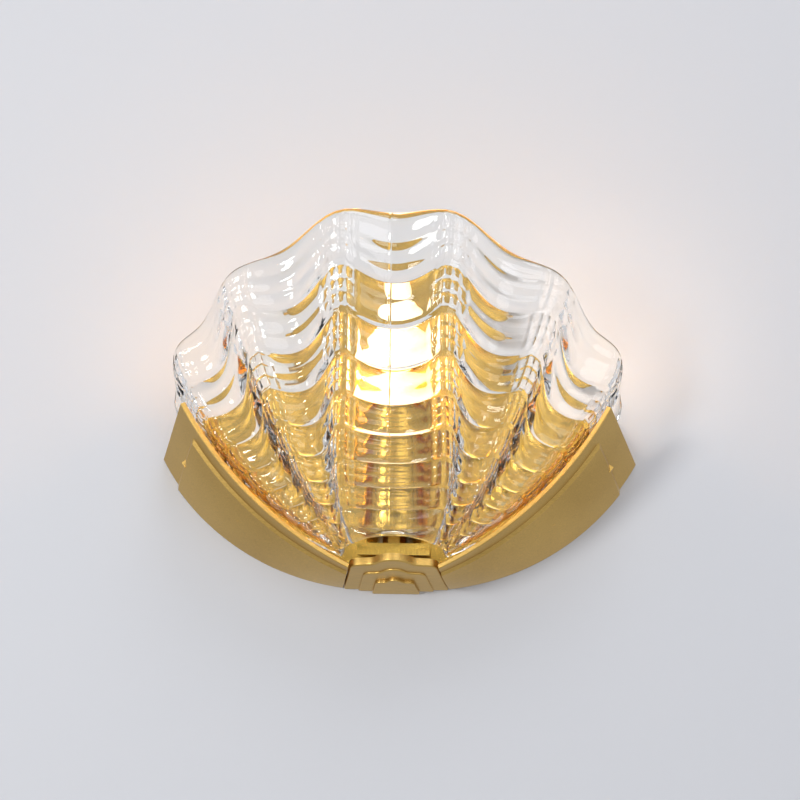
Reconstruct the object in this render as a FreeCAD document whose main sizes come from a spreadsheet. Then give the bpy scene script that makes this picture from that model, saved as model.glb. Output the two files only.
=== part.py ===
import FreeCAD, Part

import math
import os

import Sketcher
from FreeCAD import Placement, Rotation, Vector

# A shell wall sconce, in millimetres. +Z is up and the wall is the plane Y = 0, with the lamp on its -Y
# side, so that "depth" is the distance -Y out from the wall. The origin is on the wall, in the middle of
# the two screw holes that carry the lamp.
SIZES = {
    # The steel strap on the wall and the round canopy over it
    "strap_length": 115.6, "strap_width": 20, "strap_sheet": 2, "strap_tab_depth": 12,
    "wall_hole_spacing": 70, "wall_hole_radius": 2.5, "supply_hole_radius": 6,
    "earth_screw_x": 20, "earth_screw_length": 6,
    "canopy_radius": 60, "canopy_depth": 20, "canopy_sheet": 1.2, "canopy_chamfer": 3,
    "side_screw_depth": 8, "side_screw_radius": 2, "side_screw_length": 7,
    "knurl_radius": 4, "knurl_length": 5, "knurl_ridge": 0.35, "knurl_count": 24,
    # The brass back panel that carries arms, foot and lamp
    "panel_sheet": 1.5, "panel_head_radius": 59, "panel_neck_x": 56.5, "panel_neck_z": -17,
    "panel_tip_x": 139, "panel_tip_z": -62, "panel_shoulder_radius": 92, "panel_lower_radius": 171,
    "panel_foot_x": 32, "panel_foot_z": -142, "head_screw_x": 38,
    # The two cast arms: the edge on the wall and the edge in front are each an arc in the front view
    "wall_arc_radius": 156.2, "wall_arc_x": 14, "wall_arc_z": 8, "wall_arc_tip": 28.7,
    "front_arc_radius": 233.5, "front_arc_x": -72, "front_arc_z": 65, "front_arc_tip": 29.5,
    "arm_foot_x": 33.4, "arm_tip_depth": 72, "arm_foot_depth": 50, "arm_wall": 3.2,
    "arm_foot_lead": 0.048, "arm_lead_run": 6,
    "arm_panel_rise": 1.8, "arm_panel_belly": 1, "arm_panel_margin": 10.5, "arm_panel_slope": 2,
    "arm_tab_share": 0.15, "arm_crease_share": 0.02, "arm_edge": 0.5,
    "boss_radius": 4.5, "boss_inset": 6.5, "boss_length": 10, "boss_bore_depth": 8, "boss_web": 4,
    "first_boss": 0.13, "second_boss": 0.5, "third_boss": 0.86,
    # The cast foot ornament: three nested lobed steps, tilted up to the front
    "foot_half_width": 32.9, "foot_front_x": 27, "foot_shoulder": 42,
    "foot_side_lobe_x": 21.5, "foot_side_lobe": 48.5,
    "foot_notch_x": 13.5, "foot_notch": 50, "foot_lobe_x": 7.5, "foot_lobe": 56, "foot_reach": 59,
    "foot_thickness": 5, "foot_overlap": 1, "foot_round": 1.2, "foot_tilt": 6, "foot_top_z": -144.6,
    "middle_share": 0.72, "middle_rise": 1, "inner_share": 0.45, "inner_rise": 2.8,
    "foot_boss_radius": 4,
    # The bent brass bracket under the lamp
    "leg_width": 44, "leg_sheet": 2, "leg_top_z": -131, "leg_reach": 52, "leg_height": 44,
    "leg_lip_z": -138.3,
    "leg_screw_x": 7, "leg_screw_z": -96, "foot_screw_x": 7.5, "foot_screw_depth": 29.5,
    # The lamp: cup, lampholder and bulb on one upright axis
    "lamp_depth": 43.5, "cup_radius": 18.5, "cup_height": 82, "cup_sheet": 1.2,
    "nipple_radius": 5, "nipple_bore": 3.5, "nipple_foot_z": -139, "nipple_length": 51,
    "nut_radius": 7, "nut_height": 3, "ring_sheet": 1,
    "holder_radius": 13.5, "holder_top_z": -48, "holder_height": 48, "holder_bore": 7.9,
    "holder_bore_depth": 27, "thread_sheet": 0.5, "thread_gap": 0.25, "thread_height": 20,
    "cap_radius": 6.95, "cap_height": 17, "cap_sheet": 0.3, "cap_foot_z": -69,
    "bulb_radius": 17.5, "bulb_throat_radius": 6.5, "bulb_top_z": 34, "bulb_widest_z": -19,
    "bulb_glass": 0.8, "contact_radius": 2.6, "contact_height": 1.6,
    "filament_radius": 0.9, "filament_height": 38, "filament_circle": 5, "filament_foot_z": -36,
    # The glass shade: rolls stacked from foot to rim, crossed by six ridges with flutes between them
    "glass_thickness": 4.5, "glass_gap": 3.6, "edge_depth": 42, "edge_end_x": 140, "edge_end_z": -34,
    "crown_foot_depth": 70, "crown_foot_z": -131, "crown_rim_depth": 125, "crown_rim_z": 62,
    "crown_bulge": 9, "tip_share": 0.86,
    "ridge_rise": 3.4, "flute_sink": 4.2, "ridge_width": 0.28, "inner_relief": 0.75,
    "first_ridge": 14.7, "second_ridge": 45, "third_ridge": 76,
    "first_ridge_foot": 50, "second_ridge_foot": 64, "third_ridge_foot": 77, "ridge_fan": 3,
    "roll_count": 10, "first_roll": 9, "last_roll": 27, "roll_bulge": 3.8, "roll_seat": 0.35,
    "roll_power": 0.8,
    "roll_lean": 0.8, "roll_sag": 0.1, "foot_sag": 0.35, "foot_relief": 0.3, "relief_run": 2.6,
    "edge_run": 12, "rim_dip": 5, "rim_drop": 9, "rim_run": 8, "glass_columns": 85, "roll_rows": 4,
    # Small parts
    "pad_length": 0.05, "pad_depth": 7, "pad_gap": 1.3, "lower_pad": 0.12, "upper_pad": 0.78,
    "screw_radius": 2, "screw_length": 7,
    "screw_head_radius": 3.6, "screw_head_height": 2.2, "screw_slot_width": 0.9,
    "block_width": 30, "block_height": 16, "block_depth": 12, "block_z": 28,
    "block_screw_radius": 1.6, "block_screw_spacing": 10,
    "bush_radius": 4, "bush_flange": 6, "bush_bore": 3.2, "lead_entry_z": -112,
    "lead_radius": 1.1, "lead_x": 1.5, "lead_depth": 12, "lead_bend": 8, "lead_small_bend": 6,
    "lead_notch_radius": 5,
    "clip_width": 9, "clip_sheet": 0.8, "clip_x": 113, "clip_z": -67, "clip_foot": 9, "clip_lip": 3,
    "clip_reach": 36.6, "clip_screw_radius": 1.5,
}
DOC = FreeCAD.newDocument("sconce")
SHEET = DOC.addObject("Spreadsheet::Sheet", "Sizes")
for row, (alias, number) in enumerate(SIZES.items(), start=1):
    SHEET.set(f"A{row}", str(number))
    SHEET.setAlias(f"A{row}", alias)
DOC.recompute()

SIDES = {"left": -1, "right": 1}
PIECES = []


class Size:
    """A size worked out from the sheet: its value now and the expression that gives it."""

    def __init__(self, value, text):
        self.value = float(value)
        self.text = text

    def __add__(self, other):
        return Size(self.value + as_size(other).value, f"({self.text} + {as_size(other).text})")

    def __sub__(self, other):
        return Size(self.value - as_size(other).value, f"({self.text} - {as_size(other).text})")

    def __mul__(self, other):
        return Size(self.value * as_size(other).value, f"({self.text} * {as_size(other).text})")

    def __neg__(self):
        return self * -1


def as_size(number):
    """A plain number as a Size, so that both can stand in one sum."""
    return number if isinstance(number, Size) else Size(number, f"({number})")


def size(alias):
    """The Size in the sheet's cell of that alias."""
    return Size(SHEET.get(alias), f"Sizes.{alias}")


def mm(alias):
    """The plain number in the sheet's cell of that alias."""
    return float(SHEET.get(alias))


def piece(label, solid):
    """Name a finished sub-part and put it on the list of those that are written out."""
    solid.Label = label
    PIECES.append(solid)
    return solid


def shaped(label, shape):
    """A sub-part whose shape is worked out from the sheet."""
    feature = DOC.addObject("Part::Feature", "Shape_" + label)
    feature.Shape = shape
    return piece(label, feature)


def place(solid, across=0, along=0, up=0, rotation=Rotation()):
    """Turn a solid, then move it to a place bound to the sheet."""
    solid.Placement = Placement(Vector(0, 0, 0), rotation)
    for axis, distance in (("x", across), ("y", along), ("z", up)):
        solid.setExpression(f"Placement.Base.{axis}", as_size(distance).text)
    return solid


# ---------------------------------------------------------------- sketched, turned and drilled solids

def sketch_on(body, role):
    """An empty sketch on one of the body's own planes."""
    sketch = body.newObject("Sketcher::SketchObject", body.Name + "_Sketch")
    plane = next(item for item in body.Origin.OriginFeatures if item.Role == role)
    sketch.AttachmentSupport = (plane, "")
    sketch.MapMode = "FlatFace"
    return sketch


def bind_point(sketch, curve, point, across, up):
    """Hold a point of the sketch at a place bound to the sheet."""
    for kind, distance in (("DistanceX", across), ("DistanceY", up)):
        distance = as_size(distance)
        index = sketch.addConstraint(Sketcher.Constraint(kind, -1, 1, curve, point, distance.value))
        sketch.setExpression(f"Constraints[{index}]", distance.text)


def draw_outline(sketch, corners):
    """A closed outline of straight sides through corners bound to the sheet."""
    points = [Vector(as_size(across).value, as_size(up).value, 0) for across, up in corners]
    count = len(points)
    for start, end in zip(points, points[1:] + points[:1]):
        sketch.addGeometry(Part.LineSegment(start, end), False)
    for index in range(count):
        joint = Sketcher.Constraint("Coincident", index, 2, (index + 1) % count, 1)
        sketch.addConstraint(joint)
    for index, (across, up) in enumerate(corners):
        bind_point(sketch, index, 1, across, up)


def turned(name, corners, role="XZ_Plane"):
    """A body turned about the upright axis of its sketch, from (radius, height) corners."""
    body = DOC.addObject("PartDesign::Body", name)
    sketch = sketch_on(body, role)
    draw_outline(sketch, corners)
    turn = body.newObject("PartDesign::Revolution", name + "_Turn")
    turn.Profile = sketch
    turn.ReferenceAxis = (sketch, ["V_Axis"])
    turn.Angle = 360
    sketch.Visibility = False
    return body


def padded(name, corners, role, length):
    """A body padded evenly to both sides of its sketch's plane."""
    body = DOC.addObject("PartDesign::Body", name)
    sketch = sketch_on(body, role)
    draw_outline(sketch, corners)
    pad = body.newObject("PartDesign::Pad", name + "_Pad")
    pad.Profile = sketch
    pad.Midplane = True
    pad.setExpression("Length", as_size(length).text)
    return body


def drill(body, role, holes):
    """Drill round holes square through a body, each (across, up, radius) on one of its planes."""
    sketch = sketch_on(body, role)
    for index, (across, up, radius) in enumerate(holes):
        across, up, radius = as_size(across), as_size(up), as_size(radius)
        centre = Vector(across.value, up.value, 0)
        sketch.addGeometry(Part.Circle(centre, Vector(0, 0, 1), radius.value), False)
        bind_point(sketch, index, 3, across, up)
        bound = sketch.addConstraint(Sketcher.Constraint("Radius", index, radius.value))
        sketch.setExpression(f"Constraints[{bound}]", radius.text)
    DOC.recompute()
    before = body.Shape.Volume
    pocket = body.newObject("PartDesign::Pocket", body.Name + "_Holes")
    pocket.Profile = sketch
    pocket.Type = "ThroughAll"
    pocket.Midplane = True
    DOC.recompute()
    if body.Shape.Volume >= before:
        raise ValueError(f"{body.Name}: the holes cut nothing")
    return body


def cylinder(name, radius, height, across=0, along=0, up=0, rotation=Rotation()):
    """A plain cylinder that starts at a place and runs along +Z, or as it is turned."""
    solid = DOC.addObject("Part::Cylinder", name)
    solid.setExpression("Radius", as_size(radius).text)
    solid.setExpression("Height", as_size(height).text)
    return place(solid, across, along, up, rotation)


def cut(name, base, tools):
    """The base with every tool cut out of it."""
    for index, tool in enumerate(tools):
        result = DOC.addObject("Part::Cut", f"{name}_{index}")
        result.Base = base
        result.Tool = tool
        base = result
    return base


def group(name, members):
    """Like pieces kept as separate solids of one sub-part."""
    compound = DOC.addObject("Part::Compound", name)
    compound.Links = members
    return compound


FORWARD = Rotation(Vector(0, 0, 1), Vector(0, -1, 0))
BACKWARD = Rotation(Vector(0, 0, 1), Vector(0, 1, 0))
DOWNWARD = Rotation(Vector(1, 0, 0), 180)


def slotted_screw(name, radius, length, across, along, up, rotation):
    """A cheese-head screw: its head's seat is at the place, and its shank runs along the turned +Z."""
    head, rise = size("screw_head_radius"), size("screw_head_height")
    corners = [(0, -rise), (head - 0.5, -rise), (head, -rise + 0.5), (head, 0), (radius, 0),
               (radius, as_size(length) - 0.5), (as_size(radius) - 0.5, length), (0, length)]
    body = turned(name + "_Body", corners)
    slot = DOC.addObject("Part::Box", name + "_Slot")
    slot.setExpression("Length", (head * 2 + 2).text)
    slot.setExpression("Width", "Sizes.screw_slot_width")
    slot.setExpression("Height", "1")
    place(slot, -(head + 1), size("screw_slot_width") * -0.5, -rise - 0.2)
    return place(cut(name, body, [slot]), across, along, up, rotation)


# ---------------------------------------------------------------- curves that several pieces share

def on_circle(centre_x, centre_z, radius, below):
    """The point of a circle in the front view that lies a number of degrees below its centre's level."""
    angle = math.radians(below)
    return Vector(centre_x + radius * math.cos(angle), 0, centre_z - radius * math.sin(angle))


def arc_point(kind, share):
    """A point of the right arm's wall or front edge, from its foot (0) to its tip (1)."""
    centre_x, centre_z, radius = mm(kind + "_arc_x"), mm(kind + "_arc_z"), mm(kind + "_arc_radius")
    foot = math.degrees(math.acos((mm("arm_foot_x") - centre_x) / radius))
    return on_circle(centre_x, centre_z, radius, foot + (mm(kind + "_arc_tip") - foot) * share)


def arm_line(share):
    """Where the right arm's outer face meets the wall and ends in front, at one share of its length."""
    depth = mm("arm_foot_depth") + (mm("arm_tip_depth") - mm("arm_foot_depth")) * share
    return arc_point("wall", share), arc_point("front", share) + Vector(0, -depth, 0)


def arm_point(share, depth, inset):
    """A point at a depth from the wall and an inset below the right arm's outer face."""
    wall, front = arm_line(share)
    at_depth = wall + (front - wall) * (depth / -front.y)
    return at_depth + arm_inward(share) * inset


def arm_inward(share):
    """The unit vector square to the right arm's outer face, into the lamp."""
    step = 0.001
    wall, front = arm_line(share)
    along = arc_point("wall", share + step) - arc_point("wall", share - step)
    inward = along.cross(front - wall)
    inward.normalize()
    return inward if inward.z > 0 else -inward


def bow(start, end, radius, side):
    """An arc of a radius from start to end in the front view, bulging to one side of its chord."""
    chord = end - start
    half = chord.Length / 2
    rise = radius - math.sqrt(radius * radius - half * half)
    square = Vector(chord.z, 0, -chord.x)
    square.normalize()
    return Part.Arc(start, (start + end) * 0.5 + square * (rise * side), end).toShape()


def mirrored(shape, side):
    """A shape made for the right side, as it is on the side asked for."""
    return shape if side > 0 else shape.mirror(Vector(0, 0, 0), Vector(1, 0, 0))


def before_wall(shape):
    """What of a shape lies in front of the wall."""
    span = 4 * mm("wall_arc_radius")
    return shape.common(Part.makeBox(span, span, span, Vector(-span / 2, -span, -span / 2)))


def boss_centres():
    """Where the screws go from the back panel into the right arm."""
    inset = mm("arm_wall") + mm("boss_inset")
    shares = [mm(name + "_boss") for name in ("first", "second", "third")]
    return [arm_point(share, mm("canopy_depth"), inset) for share in shares]


# ---------------------------------------------------------------- on the wall

def wall_strap():
    """The steel strap: a bar with an end bent forward at each side of the canopy."""
    half, sheet, tab = size("strap_length") * 0.5, size("strap_sheet"), size("strap_tab_depth")
    corners = [(-half, 0), (half, 0), (half, -tab), (half - sheet, -tab), (half - sheet, -sheet),
               (-half + sheet, -sheet), (-half + sheet, -tab), (-half, -tab)]
    body = padded("Strap", corners, "XY_Plane", size("strap_width"))
    spacing, radius = size("wall_hole_spacing") * 0.5, size("wall_hole_radius")
    drill(body, "XZ_Plane", [(spacing, 0, radius), (-spacing, 0, radius),
                             (0, 0, size("supply_hole_radius")),
                             (size("earth_screw_x"), 0, size("screw_radius"))])
    drill(body, "YZ_Plane", [(-size("side_screw_depth"), 0, size("side_screw_radius"))])
    piece("wall_strap", body)


def earth_screw():
    """The earth screw in the strap, with its dished washer under the head."""
    sheet = size("strap_sheet")
    lift = sheet + 1
    screw = slotted_screw("Earth_screw", size("screw_radius"), size("earth_screw_length") - 3,
                          size("earth_screw_x"), -lift, 0, BACKWARD)
    piece("earth_screw", screw)
    bore, rim = size("screw_radius"), size("screw_head_radius") + 0.8
    washer = turned("Earth_washer", [(bore, 0), (rim, 0), (rim, 1), (bore, 1)])
    piece("earth_washer", place(washer, size("earth_screw_x"), -sheet, 0, FORWARD))


def canopy():
    """The round dish over the strap, open to the wall, with its front edge chamfered."""
    radius, depth, sheet = size("canopy_radius"), size("canopy_depth"), size("canopy_sheet")
    chamfer = size("canopy_chamfer")
    corners = [(0, -depth), (radius - chamfer, -depth), (radius, -depth + chamfer), (radius, 0),
               (radius - sheet, 0), (radius - sheet, -depth + chamfer + 0.5),
               (radius - chamfer - 0.5, -depth + sheet), (0, -depth + sheet)]
    body = turned("Canopy", corners, "XY_Plane")
    drill(body, "XZ_Plane", [(size("head_screw_x"), 0, size("screw_radius")),
                             (-size("head_screw_x"), 0, size("screw_radius")),
                             (0, size("block_z"), size("screw_radius"))])
    drill(body, "YZ_Plane", [(-size("side_screw_depth"), 0, size("side_screw_radius"))])
    notch = cylinder("Canopy_notch", size("lead_notch_radius"), 20, 0, -size("lead_depth"), -70)
    piece("canopy", cut("Canopy_notched", body, [notch]))


def side_screws():
    """The two knurled screws that hold the canopy on the strap's ends."""
    shank, knurl = size("side_screw_radius"), size("knurl_radius")
    length, head = size("side_screw_length"), size("knurl_length")
    corners = [(0, -head), (knurl - 0.6, -head), (knurl, -head + 0.6), (knurl, -0.6),
               (knurl - 0.6, 0), (shank, 0), (shank, length), (0, length)]
    for name, side in SIDES.items():
        body = turned(f"{name.title()}_side_screw", corners)
        grooves = []
        for index in range(int(mm("knurl_count"))):
            angle = 2 * math.pi * index / mm("knurl_count")
            reach = mm("knurl_radius")
            grooves.append(cylinder(f"{name.title()}_knurl_{index}", size("knurl_ridge"), head + 2,
                                    reach * math.cos(angle), reach * math.sin(angle), -head - 1))
        screw = cut(f"{name.title()}_knurled", body, [group(f"{name.title()}_grooves", grooves)])
        inward = Rotation(Vector(0, 0, 1), Vector(-side, 0, 0))
        place(screw, size("canopy_radius") * side, -size("side_screw_depth"), 0, inward)
        piece(f"{name}_side_screw", screw)


def terminal_block():
    """The terminal block in the canopy, with its clamp screws and the screw that holds it."""
    block = DOC.addObject("Part::Box", "Block")
    block.setExpression("Length", "Sizes.block_width")
    block.setExpression("Width", "Sizes.block_depth")
    block.setExpression("Height", "Sizes.block_height")
    seat = size("canopy_depth") - size("canopy_sheet")
    place(block, size("block_width") * -0.5, -seat, size("block_z") - size("block_height") * 0.5)
    holes = [cylinder("Block_hole", size("screw_radius"), 40, 0, -40, size("block_z"), BACKWARD)]
    screws = []
    clamp = size("block_screw_radius")
    back = seat - size("block_depth")
    for index in (-1, 1):
        across = size("block_screw_spacing") * index
        holes.append(cylinder(f"Block_well_{index + 1}", clamp, 6, across, -back, size("block_z"), FORWARD))
        screws.append(cylinder(f"Block_screw_{index + 1}", clamp, 5, across, -back - 1, size("block_z"),
                               FORWARD))
    piece("terminal_block", cut("Block_drilled", block, holes))
    piece("terminal_screws", group("Terminal_screws", screws))
    fixing = slotted_screw("Block_fixing", size("screw_radius"), size("block_depth") + size("canopy_sheet"),
                           0, -back, size("block_z"), FORWARD)
    piece("terminal_block_screw", fixing)


# ---------------------------------------------------------------- back panel and cradle

def back_panel():
    """The brass sheet behind the lamp: a round head, hollow shoulders, and the arms' inner line below."""
    depth, sheet = mm("canopy_depth"), mm("panel_sheet")
    level = Vector(0, -depth, 0)
    neck = level + Vector(mm("panel_neck_x"), 0, mm("panel_neck_z"))
    tip = level + Vector(mm("panel_tip_x"), 0, mm("panel_tip_z"))
    foot = level + Vector(mm("panel_foot_x"), 0, mm("panel_foot_z"))
    left_neck, left_tip, left_foot = (Vector(-p.x, p.y, p.z) for p in (neck, tip, foot))
    crown = level + Vector(0, 0, mm("panel_head_radius"))
    edges = [Part.Arc(neck, crown, left_neck).toShape(),
             bow(left_neck, left_tip, mm("panel_shoulder_radius"), 1),
             bow(left_tip, left_foot, mm("panel_lower_radius"), 1),
             Part.LineSegment(left_foot, foot).toShape(),
             bow(foot, tip, mm("panel_lower_radius"), 1),
             bow(tip, neck, mm("panel_shoulder_radius"), 1)]
    sheet_metal = Part.Face(Part.Wire(edges)).extrude(Vector(0, -sheet, 0))
    radius = mm("screw_radius")
    holes = [(mm("head_screw_x") * side, 0, radius) for side in (-1, 1)]
    holes += [(mm("leg_screw_x") * side, mm("leg_screw_z"), radius) for side in (-1, 1)]
    holes += [(point.x * side, point.z, radius) for point in boss_centres() for side in (-1, 1)]
    holes += [(mm("clip_x") * side, mm("clip_z"), mm("clip_screw_radius")) for side in (-1, 1)]
    holes.append((0, mm("lead_entry_z"), mm("bush_radius")))
    for across, up, hole in holes:
        start = Vector(across, 0, up)
        sheet_metal = sheet_metal.cut(Part.makeCylinder(hole, 2 * depth, start, Vector(0, -1, 0)))
    shaped("back_panel", sheet_metal)


def arm_section(share, rise, belly):
    """The closed outline across the right arm: raised from the wall forward, then a slope and a flat lip."""
    wall, front = arm_line(share)
    lead = mm("arm_foot_lead") * (1 - share) ** mm("arm_lead_run")
    front += arc_point("front", share - lead) - arc_point("front", share)
    out, along = -arm_inward(share), (front - wall)
    width = along.Length
    along.normalize()
    edge, thickness = mm("arm_edge"), mm("arm_wall")
    lip = width - mm("arm_panel_margin")

    def at(run, height):
        return wall + along * run + out * height

    start, crest = at(-2, rise), at(lip - mm("arm_panel_slope"), rise)
    middle = (start + crest) * 0.5 + out * belly
    corners = [crest, at(lip, 0), at(width - edge, 0), at(width, -edge), at(width, edge - thickness),
               at(width - edge, -thickness), at(-2, -thickness), start]
    sides = [Part.LineSegment(a, b).toShape() for a, b in zip(corners, corners[1:])]
    return Part.Wire([Part.Arc(start, middle, crest).toShape()] + sides)


def spaced(start, end, count):
    """Evenly spaced numbers from start to end."""
    return [start + (end - start) * index / (count - 1) for index in range(count)]


def arm(name, side):
    """One cast arm: a curved wall that leans in, a raised panel on it, and bosses for the panel's screws."""
    wall = mm("arm_wall")
    tab, end = 1 - mm("arm_tab_share"), 1 - mm("arm_tab_share") + mm("arm_crease_share")
    rise, belly = mm("arm_panel_rise"), mm("arm_panel_belly")
    raised = [arm_section(share, rise, belly) for share in spaced(0, tab, 8)]
    plain = [arm_section(share, 0.02, 0.02) for share in spaced(end, 1, 4)]
    casting = Part.makeLoft(raised, True, False).fuse([Part.makeLoft([raised[-1], plain[0]], True, True),
                                                       Part.makeLoft(plain, True, False)])
    casting = before_wall(casting)
    start, length = mm("canopy_depth") + mm("panel_sheet"), mm("boss_length")
    for centre in boss_centres():
        seat = Vector(centre.x, -start, centre.z)
        boss = Part.makeCylinder(mm("boss_radius"), length, seat, Vector(0, -1, 0))
        outward = Vector(centre.x, 0, centre.z) - Vector(mm("wall_arc_x"), 0, mm("wall_arc_z"))
        outward.normalize()
        square = Vector(outward.z, 0, -outward.x)
        reach = mm("boss_inset") + wall * 0.5
        half = square * (mm("boss_web") / 2)
        web = [seat + half, seat + half + outward * reach, seat - half + outward * reach, seat - half]
        rib = Part.Face(Part.makePolygon(web + web[:1])).extrude(Vector(0, -length, 0))
        casting = casting.fuse([boss, rib])
    for centre in boss_centres():
        seat = Vector(centre.x, -start, centre.z)
        hole = Part.makeCylinder(mm("screw_radius"), mm("boss_bore_depth"), seat, Vector(0, -1, 0))
        casting = casting.cut(hole)
    shaped(f"{name}_arm", mirrored(casting, side))


def arm_screws():
    """The screws from behind the back panel into the arms."""
    for name, side in SIDES.items():
        screws = []
        for index, centre in enumerate(boss_centres()):
            screws.append(slotted_screw(f"{name.title()}_arm_screw_{index}", size("screw_radius"),
                                        size("screw_length"), centre.x * side, -size("canopy_depth"),
                                        centre.z, FORWARD))
        piece(f"{name}_arm_screws", group(f"{name.title()}_arm_screws", screws))


def lobed_step(share, top, thickness):
    """One step of the ornament: sides that close in to a soft three-lobed front, rounded underneath."""
    outline = [(mm("foot_front_x"), mm("foot_shoulder")), (mm("foot_side_lobe_x"), mm("foot_side_lobe")),
               (mm("foot_notch_x"), mm("foot_notch")), (mm("foot_lobe_x"), mm("foot_lobe"))]
    right = [Vector(across, -depth, 0) * share for across, depth in outline]
    left = [Vector(-point.x, point.y, 0) for point in reversed(right)]
    front = Part.BSplineCurve()
    front.interpolate(right + [Vector(0, -mm("foot_reach"), 0) * share] + left)
    half_width = mm("foot_half_width") * share
    corners = [Vector(half_width, mm("foot_overlap"), 0), Vector(-half_width, mm("foot_overlap"), 0)]
    edges = [front.toShape(), Part.LineSegment(left[-1], corners[1]).toShape(),
             Part.LineSegment(corners[1], corners[0]).toShape(),
             Part.LineSegment(corners[0], right[0]).toShape()]
    step = Part.Face(Part.Wire(edges)).extrude(Vector(0, 0, -thickness))
    lower = [edge for edge in step.Edges
             if abs(edge.BoundBox.ZMax + thickness) < 0.01 and edge.BoundBox.YMin < -0.1]
    step = step.makeFillet(mm("foot_round") * share, lower)
    step.translate(Vector(0, 0, top))
    return step


def foot_ornament():
    """The cast foot between the arms: nested lobed steps underneath, and bosses that carry the bracket."""
    thickness, overlap = mm("foot_thickness"), mm("foot_overlap")
    casting = lobed_step(1, 0, thickness)
    casting = casting.fuse([lobed_step(mm(name + "_share"), -overlap,
                                       thickness - overlap + mm(name + "_rise"))
                            for name in ("middle", "inner")])
    casting.rotate(Vector(0, 0, 0), Vector(1, 0, 0), -mm("foot_tilt"))
    casting.translate(Vector(0, 0, mm("foot_top_z")))
    seat = mm("leg_top_z") - mm("leg_sheet")
    for side in (-1, 1):
        base = Vector(mm("foot_screw_x") * side, -mm("foot_screw_depth"), mm("foot_top_z"))
        boss = Part.makeCylinder(mm("foot_boss_radius"), seat - base.z, base)
        casting = casting.fuse(boss)
        top = Vector(base.x, base.y, seat)
        hole = Part.makeCylinder(mm("screw_radius"), mm("screw_length"), top, Vector(0, 0, -1))
        casting = casting.cut(hole)
    shaped("foot_ornament", before_wall(casting))


def lamp_bracket():
    """The bent brass plate that stands on the foot and carries the lamp: back, floor and a lip in front."""
    back = size("canopy_depth") + size("panel_sheet")
    top, sheet, reach = size("leg_top_z"), size("leg_sheet"), size("leg_reach")
    head = top + size("leg_height")
    lip = size("leg_lip_z")
    corners = [(-back, head), (-back - sheet, head), (-back - sheet, top), (-reach, top), (-reach, lip),
               (-reach + sheet, lip), (-reach + sheet, top - sheet), (-back, top - sheet)]
    body = padded("Bracket", corners, "YZ_Plane", size("leg_width"))
    drill(body, "XZ_Plane", [(size("leg_screw_x"), size("leg_screw_z"), size("screw_radius")),
                             (-size("leg_screw_x"), size("leg_screw_z"), size("screw_radius")),
                             (0, size("lead_entry_z"), size("bush_radius"))])
    drill(body, "XY_Plane", [(size("foot_screw_x"), -size("foot_screw_depth"), size("screw_radius")),
                             (-size("foot_screw_x"), -size("foot_screw_depth"), size("screw_radius")),
                             (0, -size("lamp_depth"), size("nipple_radius"))])
    piece("lamp_bracket", body)


def small_screws():
    """The screws of head, bracket, foot and clips."""
    radius, length = size("screw_radius"), size("screw_length")
    front = size("canopy_depth") + size("panel_sheet")
    sets = {
        "head_screws": [(size("head_screw_x") * side, -front, 0, BACKWARD, radius, 6)
                        for side in (-1, 1)],
        "bracket_screws": [(size("leg_screw_x") * side, -size("canopy_depth"), size("leg_screw_z"),
                            FORWARD, radius, 5) for side in (-1, 1)],
        "foot_screws": [(size("foot_screw_x") * side, -size("foot_screw_depth"), size("leg_top_z"),
                         DOWNWARD, radius, length) for side in (-1, 1)],
        "clip_screws": [(size("clip_x") * side, -front - size("clip_sheet"), size("clip_z"),
                         BACKWARD, size("clip_screw_radius"), 4) for side in (-1, 1)],
    }
    for label, members in sets.items():
        screws = [slotted_screw(f"{label}_{index}", thick, run, across, along, up, way)
                  for index, (across, along, up, way, thick, run) in enumerate(members)]
        piece(label, group(label.title(), screws))


def clip(name, side):
    """A sprung strip on the back panel that stops the glass from tipping back."""
    sheet, lip = size("clip_sheet"), size("clip_lip")
    back = size("canopy_depth") + size("panel_sheet")
    front = size("clip_reach")
    near, far = size("clip_foot") * -0.5, size("clip_foot") * 0.5
    corners = [(near, -back), (far, -back), (far, -front + sheet), (far + lip, -front + sheet),
               (far + lip, -front), (far - sheet, -front), (far - sheet, -back - sheet),
               (near, -back - sheet)]
    if side < 0:
        corners = [(as_size(across) * -1, along) for across, along in corners]
    body = padded(f"{name.title()}_clip", corners, "XY_Plane", size("clip_width"))
    drill(body, "XZ_Plane", [(0, 0, size("clip_screw_radius"))])
    piece(f"{name}_clip", place(body, size("clip_x") * side, 0, size("clip_z")))


def pads(name, side):
    """The two soft pads of an arm on which the edge of the glass rests."""
    inner = mm("arm_wall")
    thick = mm("glass_gap") - mm("pad_gap")
    members = []
    for middle in (mm("lower_pad"), mm("upper_pad")):
        sections = []
        for share in spaced(middle - mm("pad_length") / 2, middle + mm("pad_length") / 2, 3):
            near, far = mm("edge_depth"), mm("edge_depth") + mm("pad_depth")
            corners = [arm_point(share, near, inner), arm_point(share, far, inner),
                       arm_point(share, far, inner + thick), arm_point(share, near, inner + thick)]
            sections.append(Part.makePolygon(corners + corners[:1]))
        members.append(mirrored(Part.makeLoft(sections, True, True), side))
    shaped(f"{name}_pads", Part.makeCompound(members))


# ---------------------------------------------------------------- the lamp inside

def nut(name, up):
    """A hexagon nut on the lamp's nipple."""
    prism = DOC.addObject("Part::Prism", name)
    prism.Polygon = 6
    prism.setExpression("Circumradius", "Sizes.nut_radius")
    prism.setExpression("Height", "Sizes.nut_height")
    place(prism, 0, -size("lamp_depth"), up)
    bore = cylinder(name + "_bore", size("nipple_radius"), 60, 0, -size("lamp_depth"), up - 20)
    return cut(name + "_cut", prism, [bore])


def on_lamp_axis(label, corners):
    """A part turned about the lamp's upright axis."""
    return piece(label, place(turned(label.title(), corners), 0, -size("lamp_depth")))


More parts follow.
